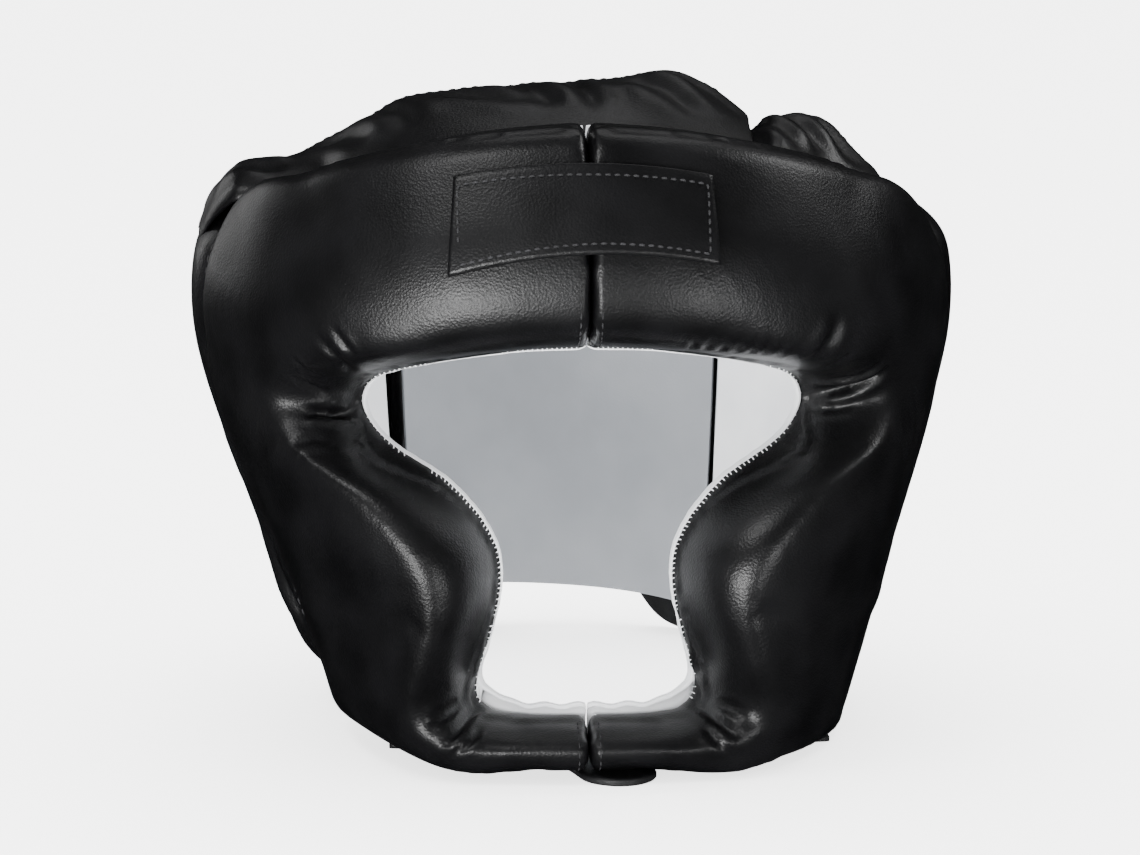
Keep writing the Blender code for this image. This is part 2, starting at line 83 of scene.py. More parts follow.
def quads_of(node, name):
    """A new object with a node's mesh, welded and back in quads."""
    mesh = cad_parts[node].data.copy()
    mesh.name = name
    mesh.materials.clear()
    work = bmesh.new()
    work.from_mesh(mesh)
    bmesh.ops.remove_doubles(work, verts=work.verts, dist=weld_distance)
    bmesh.ops.join_triangles(
        work,
        faces=work.faces,
        angle_face_threshold=math.radians(50),
        angle_shape_threshold=math.radians(70),
    )
    work.to_mesh(mesh)
    work.free()
    return linked(name, mesh)


def linked(name, mesh):
    obj = bpy.data.objects.new(name, mesh)
    bpy.context.scene.collection.objects.link(obj)
    return obj


def settle(obj):
    """Applies an object's modifiers to its mesh."""
    graph = bpy.context.evaluated_depsgraph_get()
    made = bpy.data.meshes.new_from_object(obj.evaluated_get(graph))
    made.name = obj.name
    obj.modifiers.clear()
    obj.data = made
    return obj


def subdivided(obj, levels, crease=0.0, crease_angle=55):
    """Catmull-Clark subdivision, with the sharp edges held back by a crease."""
    work = bmesh.new()
    work.from_mesh(obj.data)
    layer = work.edges.layers.float.get("crease_edge") or work.edges.layers.float.new("crease_edge")
    for edge in work.edges:
        sharp = len(edge.link_faces) == 2 and edge.calc_face_angle(0) > math.radians(crease_angle)
        edge[layer] = crease if sharp else 0.0
    work.to_mesh(obj.data)
    work.free()
    smooth = obj.modifiers.new("Subdivision", "SUBSURF")
    smooth.levels = levels
    smooth.render_levels = levels
    return settle(obj)


def tree_of(*objects):
    """One search tree for the surfaces of several objects."""
    points = []
    faces = []
    for obj in objects:
        base = len(points)
        points += [v.co.copy() for v in obj.data.vertices]
        faces += [[base + i for i in p.vertices] for p in obj.data.polygons]
    return BVHTree.FromPolygons(points, faces)


def remeshed(obj, voxel, hold):
    """An even skin of quads, relaxed, then drawn back to the old surface so that edges stay crisp."""
    before = tree_of(obj)
    grid = obj.modifiers.new("Remesh", "REMESH")
    grid.mode = "VOXEL"
    grid.voxel_size = voxel
    settle(obj)
    relax = obj.modifiers.new("Smooth", "SMOOTH")
    relax.factor = 0.5
    relax.iterations = 3
    settle(obj)
    for vert in obj.data.vertices:
        near = before.find_nearest(vert.co)[0]
        vert.co = vert.co.lerp(near, hold)
    return obj


# %% [markdown]
# A point on the headgear is easiest to name the way a tailor would: by how far round the head it is, and
# by its height. A ray cast inwards from there lands on the leather, and a ray cast from the front does
# the same for the marks round the eyes. Names such as these stay right when the surface moves a little,
# which the number of a vertex does not.


# %% Finding places on the surface
def round_head(tree, angle, height):
    """Where a ray towards the head's axis meets the surface: the point and its normal."""
    turn = math.radians(angle)
    outwards = Vector((math.sin(turn), -math.cos(turn), 0))
    start = Vector((0, axis_y, height)) + outwards * 0.3
    point, normal, _, _ = tree.ray_cast(start, -outwards)
    return point, normal


def from_front(tree, x, z):
    """Where a ray from the front meets the surface."""
    point, normal, _, _ = tree.ray_cast(Vector((x, -0.4, z)), Vector((0, 1, 0)))
    return point, normal


def outward(point):
    """The level direction away from the head's axis."""
    level = Vector((point.x, point.y - axis_y, 0))
    return level.normalized()


# %% [markdown]
# Leather over foam swells between its seams. A bevel or a smooth modifier would round every edge by the
# same amount. Blender's Cloth does better: the seams and the inside face are pinned, a light pressure
# blows the rest outwards, and a cap keeps every point near its CAD solid.


# %% Padding by cloth simulation
faces_outwards = 0.08


def swollen(obj, pressure, cap, shrink, frames=16):
    """Blows up the outside of a closed pad, with its seams and its inside pinned."""
    mesh = obj.data
    pinned = [v.index for v in mesh.vertices if v.normal.dot(outward(v.co)) < faces_outwards]
    held = set(pinned)
    for vert in mesh.vertices:
        if vert.index not in held:
            vert.co -= vert.normal * shrink
    start = [v.co.copy() for v in mesh.vertices]
    group = obj.vertex_groups.new(name="sewn")
    group.add(pinned, 1.0, "REPLACE")
    cloth = obj.modifiers.new("Cloth", "CLOTH")
    settings = cloth.settings
    settings.quality = 5
    settings.vertex_group_mass = "sewn"
    settings.use_pressure = True
    settings.uniform_pressure_force = pressure
    settings.effector_weights.gravity = 0.0
    settings.tension_stiffness = 12
    settings.compression_stiffness = 12
    settings.bending_stiffness = 1.5
    cloth.point_cache.frame_start = 1
    cloth.point_cache.frame_end = frames
    for step in range(1, frames + 1):
        bpy.context.scene.frame_set(step)
    settle(obj)
    obj.vertex_groups.clear()
    bpy.context.scene.frame_set(1)
    furthest = 0.0
    for vert, before in zip(obj.data.vertices, start):
        move = vert.co - before
        furthest = max(furthest, move.length)
        if move.length > cap:
            vert.co = before + move * (cap / move.length)
    print(obj.name, "swelled by up to", round(furthest * 1000, 2), "mm, capped at", cap * 1000)
    return obj


# %% [markdown]
# Folds are drawn last, straight into the fine mesh. Sculpting would do it too, but a script can't sculpt,
# and a bump in the material would leave the outline smooth. Each fold is a line on the surface: the
# leather sinks along it and rises a little on both sides, as it does where a seam or a tight corner
# gathers it.


# %% Folds
# All in widths of the fold: how far it is felt, where its shoulders are, and how wide they are
fold_reach = 5
shoulder_place = 2.1
shoulder_width = 1.1


def coordinates(mesh):
    points = np.empty(len(mesh.vertices) * 3)
    mesh.vertices.foreach_get("co", points)
    return points.reshape(-1, 3)


def normals(mesh):
    values = np.empty(len(mesh.vertices) * 3)
    mesh.vertices.foreach_get("normal", values)
    return values.reshape(-1, 3)


def smooth_line(points, steps=6):
    """A Catmull-Rom curve through a few points."""
    points = [Vector(p) for p in points]
    ends = [points[0] * 2 - points[1], *points, points[-1] * 2 - points[-2]]
    line = []
    for a, b, c, d in zip(ends, ends[1:], ends[2:], ends[3:]):
        square = a * 2 - b * 5 + c * 4 - d
        cube = b * 3 - a - c * 3 + d
        for step in range(steps):
            t = step / steps
            line.append(((b * 2) + (c - a) * t + square * t**2 + cube * t**3) / 2)
    line.append(points[-1])
    return line


def along_line(points, line):
    """For each point, its distance to a line and how far along the line it is, from 0 to 1."""
    line = np.array(line)
    lengths = np.linalg.norm(line[1:] - line[:-1], axis=1)
    total = lengths.sum()
    nearest = np.full(len(points), 1.0)
    share = np.zeros(len(points))
    passed = 0.0
    for start, end, length in zip(line, line[1:], lengths):
        course = end - start
        t = np.clip((points - start) @ course / max(length**2, 1e-12), 0, 1)
        gap = np.linalg.norm(points - (start + t[:, None] * course), axis=1)
        closer = gap < nearest
        nearest = np.where(closer, gap, nearest)
        share = np.where(closer, (passed + t * length) / total, share)
        passed += length
    return nearest, share


def folded(obj, line, depth, width, shoulder=0.45, fade=0.35):
    """Sinks a fold into an object along a line, with soft shoulders, fading out towards both ends."""
    points = coordinates(obj.data)
    reach = width * fold_reach
    low, high = np.min(line, axis=0) - reach, np.max(line, axis=0) + reach
    close = np.flatnonzero(((points > low) & (points < high)).all(axis=1))
    if not len(close):
        return
    gap, share = along_line(points[close], line)
    ends = np.clip(np.minimum(share, 1 - share) / fade, 0, 1) if fade else np.ones(len(close))
    ends = ends * ends * (3 - 2 * ends)
    raised = np.exp(-((gap - shoulder_place * width) / (shoulder_width * width)) ** 2)
    sink = np.exp(-(gap / width) ** 2) - shoulder * raised
    points[close] -= normals(obj.data)[close] * (sink * ends * depth)[:, None]
    obj.data.vertices.foreach_set("co", points.ravel())
    obj.data.update()


def on_surface(tree, rows):
    """A smooth line through places seen from the front, in millimetres, laid on the surface."""
    line = []
    for place in smooth_line([(x / 1000, 0, z / 1000) for x, z in rows]):
        point, _ = from_front(tree, place.x, place.z)
        if point is not None:
            line.append(point)
    return line


# %% [markdown]
# The two face pads are the piece the eye goes to. They get the finest skin, because the folds at the eye
# corners are only a few millimetres wide. Creases fan out from those corners and from the corners of
# the chin bar, where the leather is pulled round the tightest bends. The pads' seam in the middle stays
# a plain groove: only its lips are softened, and the top corners at the temples are lifted.

# %% The face pads
EYE_FOLDS_LEFT = (
    # line seen from the front, depth and width in millimetres
    (((-87, 108), (-80, 108), (-74, 107), (-69, 107)), 2.6, 1.5),
    (((-82, 113), (-77, 111), (-71, 110)), 0.9, 0.9),
    (((-89, 127), (-84, 123), (-79, 120)), 1.1, 1.1),
    (((-90, 121), (-85, 118), (-80, 115), (-76, 113)), 1.0, 1.0),
    (((-83, 137), (-78, 132), (-73, 127), (-70, 121)), 0.8, 1.4),
    (((-77, 139), (-73, 134), (-69, 129)), 0.6, 1.1),
    (((-90, 100), (-83, 101), (-77, 101)), 0.6, 1.8),
)
EYE_FOLDS_RIGHT = (
    (((70, 112), (77, 113), (85, 116), (95, 121)), 2.6, 1.5),
    (((74, 117), (80, 118), (86, 120), (92, 124)), 1.0, 1.0),
    (((71, 107), (78, 108), (86, 110)), 0.9, 1.3),
    (((71, 121), (76, 125), (82, 130)), 0.7, 1.3),
    (((67, 126), (71, 131), (74, 136), (75, 143)), 1.2, 2.2),
)
CHIN_FOLDS = (
    (((-48, 11), (-41, 15), (-34, 19), (-29, 21)), 1.2, 1.4),
    (((-43, 8), (-38, 12), (-32, 16)), 0.9, 1.1),
    (((-51, 17), (-45, 20), (-37, 22)), 0.6, 1.6),
    (((49, 12), (43, 15), (37, 18), (33, 19)), 1.1, 1.4),
    (((43, 8), (39, 12), (35, 16)), 0.8, 1.2),
    (((50, 20), (44, 21), (38, 21)), 0.6, 1.5),
)
BROW_PUCKERS = (
    # across, height at the edge, in millimetres
    (30, 131), (34.5, 131), (39, 130.5), (43.5, 130), (48, 129.5), (52, 129), (56, 127.5), (60, 126),
)
pucker_depth = 0.0004
pucker_width = 0.0009
# The middle seam, in metres: its half gap, how far its lips reach, and how fast the groove gets deep
seam_limit = 0.00015
seam_reach = 0.0018
seam_lip = 0.0008
seam_fall = 0.0016
seam_kept = 0.25
# The top corners: where they are, how far the lift is felt, and how high it is on each side
corner_across, corner_height = 0.101, 0.168
corner_wide, corner_tall = 0.022, 0.024
corner_lift = {-1: 0.0055, 1: 0.0040}
pads = {}
for side, name in ((-1, "left"), (1, "right")):
    pad = subdivided(quads_of("face_pad_" + name, "face_leather_" + name), 2, crease=0.95)
    remeshed(pad, 0.0023, 0.95)
    swollen(pad, 6.0, 0.0032, 0.0010)
    subdivided(pad, 1)
    skin = tree_of(pad)
    for rows, depth, width in (EYE_FOLDS_LEFT if side < 0 else EYE_FOLDS_RIGHT) + CHIN_FOLDS:
        if rows[0][0] * side > 0:
            folded(pad, on_surface(skin, rows), depth / 1000, width / 1000)
    for x, z in BROW_PUCKERS:
        if x * side > 0:
            rows = ((x, z), (x + 0.6 * side, z + 3), (x + 1.5 * side, z + 8))
            folded(pad, on_surface(skin, rows), pucker_depth, pucker_width)
    for vert in pad.data.vertices:
        if abs(vert.co.x) < seam_reach:
            face, _ = from_front(skin, side * seam_reach, vert.co.z)
            if face is not None and vert.co.y > face.y:
                sunk = vert.co.y - face.y
                deep = min(max((sunk - seam_lip) / seam_fall, 0), 1)
                vert.co.y = face.y + sunk * (seam_kept + (1 - seam_kept) * deep * deep * (3 - 2 * deep))
        corner = math.hypot(
            (abs(vert.co.x) - corner_across) / corner_wide, (vert.co.z - corner_height) / corner_tall
        )
        vert.co.z += corner_lift[side] * (1 - min(corner, 1.0) ** 2) ** 2
    for vert in pad.data.vertices:
        if vert.co.x * side < seam_limit:
            vert.co.x = seam_limit * side
    pad.data.shade_smooth()
    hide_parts("face_pad_" + name)
    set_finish(pad, "black_leather")
    pads[side] = pad
    print(pad.name, len(pad.data.polygons), "faces")

# %% [markdown]
# The side panels are softer than the pads, and the left one has slumped into long pointed folds low
# down. The same three steps make them: an even skin, a little pressure, then the folds.

# %% The side and back panels
SIDE_FOLDS_LEFT = (
    # line as angle round the head and height, depth and width, in degrees and millimetres
    (((80, 66), (82, 50), (80, 34), (77, 22)), 2.2, 2.6),
    (((92, 60), (91, 46), (86, 32), (80, 20)), 1.8, 2.8),
    (((78, 96), (80, 84), (79, 72)), 1.0, 2.6),
    (((104, 52), (101, 38), (95, 26)), 1.4, 3.0),
)
SIDE_FOLDS_RIGHT = (
    (((79, 60), (82, 46), (80, 30)), 1.4, 2.6),
    (((90, 52), (90, 38), (84, 24)), 1.3, 2.8),
    (((102, 70), (100, 56), (96, 44)), 1.0, 3.0),
)
panels = {}
for node, name, side in (
    ("side_panel_left", "side_leather_left", -1),
    ("side_panel_right", "side_leather_right", 1),
    ("back_panel", "back_leather", 0),
):
    panel = subdivided(quads_of(node, name), 2, crease=0.6)
    remeshed(panel, 0.003, 0.7)
    swollen(panel, 5.0, 0.0024, 0.0008)
    subdivided(panel, 1)
    skin = tree_of(panel)
    for rows, depth, width in ((), SIDE_FOLDS_RIGHT, SIDE_FOLDS_LEFT)[side]:
        places = smooth_line([(a, h, 0) for a, h in rows])
        line = [round_head(skin, a * side, h / 1000)[0] for a, h, _ in places]
        folded(panel, [p for p in line if p is not None], depth / 1000, width / 1000)
    panel.data.shade_smooth()
    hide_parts(node)
    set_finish(panel, "black_leather")
    panels[node] = panel
    print(panel.name, len(panel.data.polygons), "faces")

# %% [markdown]
# The linings, straps, wings and flaps are thin. A voxel remesh would eat them, so they keep their own
# net and are only subdivided. One table names each piece, its finish, how fine it gets, how well its
# edges hold, and how full it is where it is padded.

# %% Thin pieces
thin = {}
for node, name, slot, levels, crease, fill in (
    ("face_lining_left", "face_cloth_left", "white_lining", 2, 0.5, 0.4),
    ("face_lining_right", "face_cloth_right", "white_lining", 2, 0.5, 0.4),
    ("side_lining_left", "side_cloth_left", "white_lining", 3, 0.6, 0.4),
    ("side_lining_right", "side_cloth_right", "white_lining", 3, 0.6, 0.4),
    ("back_lining", "back_cloth", "grey_lining", 3, 0.6, 0.4),
    ("rear_wing_left", "rear_strap_left", "strap_leather", 2, 0.7, 0.3),
    ("rear_wing_right", "rear_strap_right", "strap_leather", 2, 0.7, 0.3),
    ("crown_flap_left", "crown_leather_left", "soft_black_leather", 3, 0.4, 0.4),
    ("crown_flap_right", "crown_leather_right", "soft_black_leather", 3, 0.4, 0.4),
    ("forehead_patch", "patch_leather", "black_leather", 2, 0.8, None),
    ("chin_strap_left", "chin_leather_left", "strap_leather", 2, 0.8, None),
    ("chin_strap_right", "chin_leather_right", "strap_leather", 2, 0.8, None),
    ("crown_binding_left", "binding_left", "edge_binding", 2, 0.3, None),
    ("crown_binding_right", "binding_right", "edge_binding", 2, 0.3, None),
):
    piece = subdivided(quads_of(node, name), levels, crease=crease)
    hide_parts(node)
    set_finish(piece, slot)
    piece.data.shade_smooth()
    thin[node] = piece
    print(piece.name, len(piece.data.polygons), "faces")

# %% [markdown]
# Three of the thin pieces are flat leather: the patch that is laid on the forehead, and the two runs of the chin
# strap, whose ends are rounded.

# %% [markdown]
# The lining and its stitches follow the outline of the face opening. It could be read off the pads' own
# edges, but folds and cloth have moved those. Rays find it as it now is: from the middle outwards, each
# direction is searched for the first place that a pad covers, as seen from the front.

# %% The outline of the face opening
rim_skin = tree_of(*pads.values())
opening_middle = Vector((0, 0, 0.100))
opening_limit = 0.11
inside_face = -0.03
beside_seam = 0.0008


def covered(x, z):
    """Whether a pad covers a place, which is tested just beside the middle seam and never inside it."""
    beside = math.copysign(max(abs(x), beside_seam), x)
    point, _ = from_front(rim_skin, beside, z)
    return point is not None and point.y < inside_face


def opening_edge(turn):
    """Where the opening ends in a direction, seen from the front."""
    near, far = 0.0, opening_limit
    for _ in range(15):
        middle = (near + far) / 2
        if covered(middle * math.sin(turn), opening_middle.z - middle * math.cos(turn)):
            far = middle
        else:
            near = middle
    return Vector((far * math.sin(turn), 0, opening_middle.z - far * math.cos(turn)))


rim_steps = 1400
rim = [opening_edge(math.tau * step / rim_steps) for step in range(rim_steps)]
print("opening", round(max(p.x for p in rim) * 2000, 1), "mm wide")

# %% [markdown]
# The white lining is thin where it turns over the cheeks and the brow, and puffs up behind the chin bar,
# most of all in the two lower corners of the opening. Scaling it as a whole would pull it off its seam,
# so each point is drawn in towards the outline by its own share.

# %% The lining's edge
# The share of the strip that shows above the chin, and the heights between which it grows to its whole
strip_left = 0.42
puff_full, puff_fade = 0.028, 0.014
# The puffs' height, the place and width of the corner ones, and the gentle waves between them
puff_height = 0.0042
puff_across, puff_wide = 0.031, 0.007
wave_middle, wave_size, wave_rate = 0.35, 0.12, 620
for node in ("face_lining_left", "face_lining_right"):
    for vert in thin[node].data.vertices:
        if vert.co.y > inside_face:
            continue
        across, up = vert.co.x, vert.co.z - opening_middle.z
        turn = math.atan2(across, -up) % math.tau
        edge = rim[int(turn / math.tau * rim_steps) % rim_steps]
        reach = math.hypot(edge.x, edge.z - opening_middle.z)
        radius = math.hypot(across, up)
        if radius < reach:
            low = 1 - min(max((vert.co.z - puff_full) / puff_fade, 0), 1)
            kept = strip_left + (1 - strip_left) * low
            moved = (reach - (reach - radius) * kept) / radius
            vert.co.x = across * moved
            vert.co.z = opening_middle.z + up * moved
            corner = math.exp(-((abs(vert.co.x) - puff_across) / puff_wide) ** 2)
            wave = wave_middle + wave_size * math.sin(abs(vert.co.x) * wave_rate)
            vert.co.z += puff_height * low * (corner + wave * (1 - corner))

# %% [markdown]
# The flaps over the top are gathered. Their folds run from the bound rear edge towards the forehead, and
# each one is named by where it starts and ends in plan. A second cloth simulation could gather them, but
# it would choose its own folds. The left flap's end sags onto the side panel, and its binding with it.

# %% Gathers in the crown flaps
FLAP_FOLDS_LEFT = (
    # line seen from above, depth and width, in millimetres
    (((-78, -4), (-70, -22), (-62, -36)), 1.8, 2.6),
    (((-63, -10), (-56, -26), (-50, -42)), 1.4, 2.6),
    (((-46, -12), (-34, -22), (-20, -32), (-8, -44)), 1.3, 2.8),
    (((-24, -8), (-14, -26), (-5, -46)), 1.5, 2.2),
    (((-6, -10), (3, -28), (6, -50)), 1.9, 2.2),
    (((8, -12), (12, -30), (14, -52)), 1.0, 2.2),
    (((12, -16), (26, -30), (38, -48)), 1.9, 2.6),
    (((24, -8), (38, -22), (46, -40)), 1.6, 2.4),
    (((34, -10), (44, -22), (52, -36)), 1.3, 2.0),
    (((-118, 4), (-108, -4), (-96, -14)), 1.8, 2.2),
    (((-114, -8), (-103, -14), (-90, -24)), 1.8, 2.2),
    (((-104, 8), (-94, -2), (-84, -14)), 1.6, 2.4),
    (((-92, 6), (-84, -4), (-74, -16)), 1.4, 2.4),
)
FLAP_FOLDS_RIGHT = (
    (((62, -8), (70, -18), (80, -26)), 1.4, 2.2),
    (((54, -14), (62, -28), (70, -38)), 1.3, 2.2),
    (((74, -2), (83, -12), (91, -22)), 1.4, 2.0),
    (((50, -22), (56, -34), (60, -46)), 1.0, 2.0),
)


gather_depth = 0.8
gather_width = 1.5
# The left flap's end, in metres: where it starts, its length, and how far it sags and draws in
end_start, end_length = -0.104, 0.014
end_sag, end_draw = 0.0038, 0.0012


def from_above(tree, x, y):
    """Where a ray from above meets the surface."""
    point, normal, _, _ = tree.ray_cast(Vector((x, y, 0.4)), Vector((0, 0, -1)))
    return point, normal


for node in ("crown_flap_left", "crown_binding_left"):
    for vert in thin[node].data.vertices:
        end = min(max((end_start - vert.co.x) / end_length, 0), 1)
        vert.co.z -= end_sag * end * end
        vert.co.x += end_draw * end
for node, folds in (("crown_flap_left", FLAP_FOLDS_LEFT), ("crown_flap_right", FLAP_FOLDS_RIGHT)):
    flap = thin[node]
    skin = tree_of(flap)
    for rows, depth, width in folds:
        places = smooth_line([(x / 1000, y / 1000, 0) for x, y in rows])
        line = [from_above(skin, p.x, p.y)[0] for p in places]
        line = [p for p in line if p is not None]
        if len(line) > 2:
            deep, wide = depth * gather_depth / 1000, width * gather_width / 1000
            folded(flap, line, deep, wide, shoulder=0.6, fade=0.3)
    print(flap.name, len(folds), "gathers")


# %% [markdown]
# Stitches are what make a seam read as sewn. A striped texture would look flat from close by. Each stitch
# here is a short thread that dips into the leather at both ends, and one mesh holds a whole run of them,
# so that it can be exported as one piece.


# %% Stitches
# A thread's rings: how far along it each one is, and its share of the thread's full thickness
thread_rings = ((0.0, 0.25), (0.12, 0.85), (0.5, 1.0), (0.88, 0.85), (1.0, 0.25))
thread_sides = 5
thread_rise = 0.9
thread_sunk = 0.35
stitches = []


def stitch_run(name, pairs, radius, slot):
    """One mesh of short threads, each from one point to another."""
    work = bmesh.new()
    sides = thread_sides
    for start, end, normal in pairs:
        course = (end - start).normalized()
        across = course.cross(normal).normalized()
        upward = across.cross(course).normalized()
        layers = []
        for share, size in thread_rings:
            lift = math.sin(math.pi * share) * radius * thread_rise - radius * thread_sunk
            centre = start.lerp(end, share) + upward * lift
            layer = []
            for k in range(sides):
                turn = math.tau * k / sides
                layer.append(work.verts.new(
                    centre + (across * math.cos(turn) + upward * math.sin(turn)) * radius * size
                ))
            layers.append(layer)
        for lower, upper in zip(layers, layers[1:]):
            for k in range(sides):
                j = (k + 1) % sides
                work.faces.new((lower[k], lower[j], upper[j], upper[k]))
        work.faces.new(list(reversed(layers[0])))
        work.faces.new(layers[-1])
    bmesh.ops.recalc_face_normals(work, faces=work.faces)
    mesh = bpy.data.meshes.new(name)
    work.to_mesh(mesh)
    work.free()
    mesh.shade_smooth()
    obj = linked(name, mesh)
    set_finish(obj, slot)
    stitches.append(obj)
    print(name, len(pairs), "stitches")
    return obj


def dashes(found, stitch, gap):
    """Start, end and normal of each stitch along a run of surface points."""
    pairs = []
    lengths = [0.0]
    for (first, _), (second, _) in zip(found, found[1:]):
        lengths.append(lengths[-1] + (second - first).length)

    def at(distance):
        i = 0
        while i < len(lengths) - 2 and lengths[i + 1] < distance:
            i += 1
        span = max(lengths[i + 1] - lengths[i], 1e-9)
        t = (distance - lengths[i]) / span
        return found[i][0].lerp(found[i + 1][0], t), found[i][1]

    place = gap / 2
    while place + stitch < lengths[-1]:
        start, normal = at(place)
        end, _ = at(place + stitch)
        pairs.append((start, end, normal))
        place += stitch + gap
    return pairs


pad_skin = tree_of(*pads.values())
side_skin = tree_of(panels["side_panel_left"], panels["side_panel_right"])
patch_skin = tree_of(thin["forehead_patch"])
chin_and_forehead = ((0.003, 0.018), (0.132, 0.157))
beside_middle = 0.0032
behind_seam = 2.6

pairs = []
for side in (-1, 1):
    for low, high in chin_and_forehead:
        run = [from_front(pad_skin, side * beside_middle, z) for z in np.linspace(low, high, 30)]
        pairs += dashes([hit for hit in run if hit[0] is not None], stitch=0.0022, gap=0.0011)
stitch_run("seam_stitches", pairs, radius=0.00028, slot="edge_binding")

pairs = []
for side in (-1, 1):
    angle = side * (seam_angle + behind_seam)
    run = [round_head(side_skin, angle, height) for height in np.linspace(0.022, 0.155, 90)]
    pairs += dashes([hit for hit in run if hit[0] is not None], stitch=0.0026, gap=0.0014)
stitch_run("side_stitches", pairs, radius=0.00032, slot="edge_binding")

# %% [markdown]
# The forehead patch has a dashed border a few millimetres inside its edge. Rays from the front find the
# patch's own outline first, and the border is that outline drawn in towards the middle.

# %% The patch's border
patch_points = coordinates(thin["forehead_patch"].data)
patch_left, patch_right = patch_points[:, 0].min(), patch_points[:, 0].max()
border = 0.0032
column_half = 0.0022


def patch_ends(x):
    """The lowest and highest places on the patch's face at a distance across."""
    column = patch_points[abs(patch_points[:, 0] - x) < column_half]
    return column[:, 2].min(), column[:, 2].max()


corners = []
for x in np.linspace(patch_left + border, patch_right - border, 36):
    low, high = patch_ends(x)
    corners.append((x, low + border, high - border))
outline = [(x, low) for x, low, _ in corners] + [(x, high) for x, _, high in reversed(corners)]
outline.append(outline[0])
run = []
for (x0, z0), (x1, z1) in zip(outline, outline[1:]):
    for t in (0, 0.25, 0.5, 0.75):
        hit = from_front(patch_skin, x0 + (x1 - x0) * t, z0 + (z1 - z0) * t)
        if hit[0] is not None:
            run.append(hit)
stitch_run("patch_stitches", dashes(run, stitch=0.0019, gap=0.0009), radius=0.00042, slot="edge_binding")

# %% [markdown]
# Where the white lining turns over the leather it is held by a close zigzag, which follows the outline.

# %% The zigzag round the face opening
tooth_spacing, tooth_inside, tooth_outside = 0.0014, 0.0004, 0.0006
lining_skin = tree_of(*pads.values(), thin["face_lining_left"], thin["face_lining_right"])
pairs = []
travelled = 0.0
for before, here, after in zip(rim[-4:] + rim[:-4], rim, rim[4:] + rim[:4]):
    travelled += (after - before).length / 8
    if travelled < tooth_spacing:
        continue
    travelled = 0.0
    tangent = (after - before).normalized()
    across = Vector((tangent.z, 0, -tangent.x))
    if across.dot(here - opening_middle) < 0:
        across = -across
    inner = here - across * tooth_inside - tangent * 0.0002
    outer = here + across * tooth_outside + tangent * 0.0002
    first, _ = from_front(lining_skin, inner.x, inner.z)
    second, normal = from_front(rim_skin, outer.x, outer.z)
    if first is not None and second is not None and (second - first).length < 0.004:
        pairs.append((first, second, normal))
stitch_run("rim_stitches", pairs, radius=0.00022, slot="white_lining")

# %% [markdown]
# The binding of each crown flap is sewn on with a line of its own, a few millimetres in from the edge.
# Its route is drawn in plan and dropped onto the leather, so that it climbs over the gathers.

# %% The line along the crown's bound edge
CROWN_LINE_LEFT = (
    # across and depth in plan, in millimetres
    (-96, 2), (-72, -2), (-58, -6), (-40, -9), (-18, -11), (4, -12), (24, -12), (38, -12), (48, -16),
)
CROWN_LINE_RIGHT = ((56, -17), (66, -14), (78, -8), (88, -4), (94, -2))
pairs = []
for node, table in (("crown_flap_left", CROWN_LINE_LEFT), ("crown_flap_right", CROWN_LINE_RIGHT)):
    skin = tree_of(thin[node])
    places = smooth_line([(x / 1000, y / 1000, 0) for x, y in table], 10)
    run = [from_above(skin, place.x, place.y) for place in places]
    pairs += dashes([hit for hit in run if hit[0] is not None], stitch=0.0024, gap=0.0013)
stitch_run("crown_stitches", pairs, radius=0.00022, slot="edge_binding")

# %% [markdown]
# The headgear is black leather with a satin coat, white and grey lining cloth, and woven binding.
# Pictures of leather could be wrapped round it, but every finish here is made from noise, so that it
# holds up at any distance. Leather needs three scales: a fine grain of cells, soft unevenness one or two centimetres
# wide, and a roughness that wanders over a few centimetres.


# %% Materials
def add_node(tree, kind, **inputs):
    """A node with its inputs set by name."""
    made = tree.nodes.new(kind)
    for key, value in inputs.items():
        made.inputs[key.replace("_", " ")].default_value = value
    return made


def base_material(name, colour, roughness):
    """A material with its shader, and coordinates in metres."""
    made = bpy.data.materials.new(name)
    made.use_nodes = True
    tree = made.node_tree
    shader = tree.nodes["Principled BSDF"]
    shader.inputs["Base Color"].default_value = (*colour, 1)
    shader.inputs["Roughness"].default_value = roughness
    place = tree.nodes.new("ShaderNodeTexCoord").outputs["Object"]
    return made, tree, shader, place


def noise_at(tree, place, scale, detail=2.0, roughness=0.5):
    made = add_node(tree, "ShaderNodeTexNoise", Scale=scale, Detail=detail, Roughness=roughness)
    tree.links.new(place, made.inputs["Vector"])
    return made.outputs["Fac"]


def ranged(tree, value, low, high):
    """Spreads a noise value over a range."""
    made = add_node(tree, "ShaderNodeMapRange")
    made.inputs["From Min"].default_value = 0.3
    made.inputs["From Max"].default_value = 0.7
    made.inputs["To Min"].default_value = low
    made.inputs["To Max"].default_value = high
    tree.links.new(value, made.inputs["Value"])
    return made.outputs["Result"]


def bumped(tree, height, strength, distance, below=None):
    made = add_node(tree, "ShaderNodeBump", Strength=strength, Distance=distance)
    tree.links.new(height, made.inputs["Height"])
    if below is not None:
        tree.links.new(below, made.inputs["Normal"])
    return made.outputs["Normal"]


def tinted(tree, value, first, second):
    """A colour between two, by a value."""
    made = tree.nodes.new("ShaderNodeMix")
    made.data_type = "RGBA"
    made.inputs["A"].default_value = (*first, 1)
    made.inputs["B"].default_value = (*second, 1)
    tree.links.new(value, made.inputs["Factor"])
    return made.outputs["Result"]


